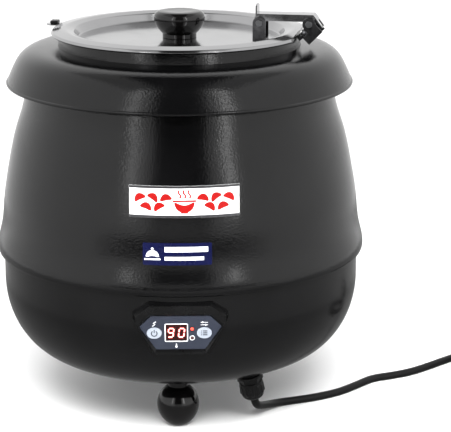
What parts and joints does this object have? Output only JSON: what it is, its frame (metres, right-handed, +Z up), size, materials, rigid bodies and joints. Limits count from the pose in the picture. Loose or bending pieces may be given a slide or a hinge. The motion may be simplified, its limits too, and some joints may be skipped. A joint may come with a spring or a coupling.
{
  "type": "soup kettle",
  "caption": "Round electric soup kettle: two-part black shell on ball feet, flared collar, hinged sunken steel lid with a knob, removable pot, digital control panel and mains lead.",
  "frame": {"origin": "on the floor under the centre of the kettle, on the kettle's own axis", "axes": "+Z up, the control panel faces -Y, the lid's hinge is towards +X and the mains lead leaves to +X"},
  "size_m": [0.6369, 0.3784, 0.4165],
  "materials": {
    "black_enamel": "glossy fine-textured powder coat",
    "polished_steel": "polished stainless steel",
    "brushed_steel": "satin stainless steel",
    "zinc_steel": "zinc-plated steel",
    "black_bakelite": "polished phenolic moulding",
    "black_nylon": "satin moulded nylon",
    "black_rubber": "matte rubber",
    "nickel_brass": "nickel-plated brass",
    "label_grey": "satin printed film",
    "button_white": "satin",
    "lens_red": "tinted lens",
    "board_green": "solder mask",
    "component_black": "satin",
    "glass_fibre": "loose fibre blanket",
    "steatite": "unglazed",
    "sign_white": "gloss printed film",
    "badge_blue": "gloss printed film"
  },
  "bodies": {
    "kettle": {"upper_shell": "black_enamel", "lower_shell": "black_enamel", "base_plate": "zinc_steel", "base_screws": "zinc_steel", "seam_rivets": "zinc_steel", "water_tank": "brushed_steel", "insulation": "glass_fibre", "heating_element": "zinc_steel", "element_clamp": "zinc_steel", "thermal_cutout": "component_black", "temperature_sensor": "zinc_steel", "panel_bezel": "black_nylon", "panel_label": "label_grey", "button_switches": "component_black", "display_window": "lens_red", "display_module": "component_black", "control_board": "board_green", "indicator_lenses": "lens_red", "board_screws": "zinc_steel", "sign_plate": "sign_white", "badge": "badge_blue", "foot_front": "black_bakelite", "foot_left": "black_bakelite", "foot_right": "black_bakelite", "foot_studs": "zinc_steel", "foot_nuts": "zinc_steel", "gland_body": "black_nylon", "gland_nut": "black_nylon", "gland_seal": "black_rubber", "gland_locknut": "black_nylon", "inner_lead": "black_rubber", "terminal_block": "steatite", "power_cord": "black_rubber", "cord_tail": "black_rubber", "cord_coil": "black_rubber", "coil_tie": "black_nylon", "plug_body": "black_rubber", "plug_pins": "nickel_brass"},
    "soup_pot": {"insert_pot": "brushed_steel"},
    "collar_ring": {"collar": "black_enamel", "neck_ring": "black_enamel", "neck_clevis": "polished_steel", "clevis_bolt": "zinc_steel", "clevis_nut": "zinc_steel", "neck_pin": "zinc_steel"},
    "hinge_arm": {"hinge_arm": "polished_steel"},
    "lid": {"lid": "polished_steel", "lid_knob": "black_bakelite", "knob_screw": "zinc_steel", "knob_washer": "zinc_steel", "lid_clevis": "polished_steel", "clevis_rivets": "zinc_steel", "lid_pin": "zinc_steel", "lift_tongue": "polished_steel", "tongue_grip": "black_nylon"},
    "power_button": {"power_button": "button_white"},
    "set_button": {"set_button": "button_white"}
  },
  "joints": [
    {"name": "ring_lift", "type": "slide", "parent": "kettle", "child": "collar_ring", "axis": [0, 0, 1], "range_m": [0, 0.12]},
    {"name": "pot_lift", "type": "slide", "parent": "kettle", "child": "soup_pot", "axis": [0, 0, 1], "range_m": [0, 0.06]},
    {"name": "arm_swing", "type": "hinge", "parent": "collar_ring", "child": "hinge_arm", "pos_m": [0.13036, -0.02534, 0.3981], "axis": [0.1908, 0.9816, 0], "range_deg": [0, 90]},
    {"name": "lid_tilt", "type": "hinge", "parent": "hinge_arm", "child": "lid", "pos_m": [0.08138, -0.01582, 0.3981], "axis": [0.1908, 0.9816, 0], "range_deg": [-8, 0]},
    {"name": "power_press", "type": "slide", "parent": "kettle", "child": "power_button", "axis": [0, 1, 0], "range_m": [0, 0.0008], "stiffness_N_per_m": 800, "springref_m": -0.001},
    {"name": "set_press", "type": "slide", "parent": "kettle", "child": "set_button", "axis": [0, 1, 0], "range_m": [0, 0.0008], "stiffness_N_per_m": 800, "springref_m": -0.001}
  ],
  "couplings": [
    {"joint": "pot_lift", "follows": "ring_lift", "ratio": 0.5},
    {"joint": "lid_tilt", "follows": "arm_swing", "ratio": -0.08}
  ]
}
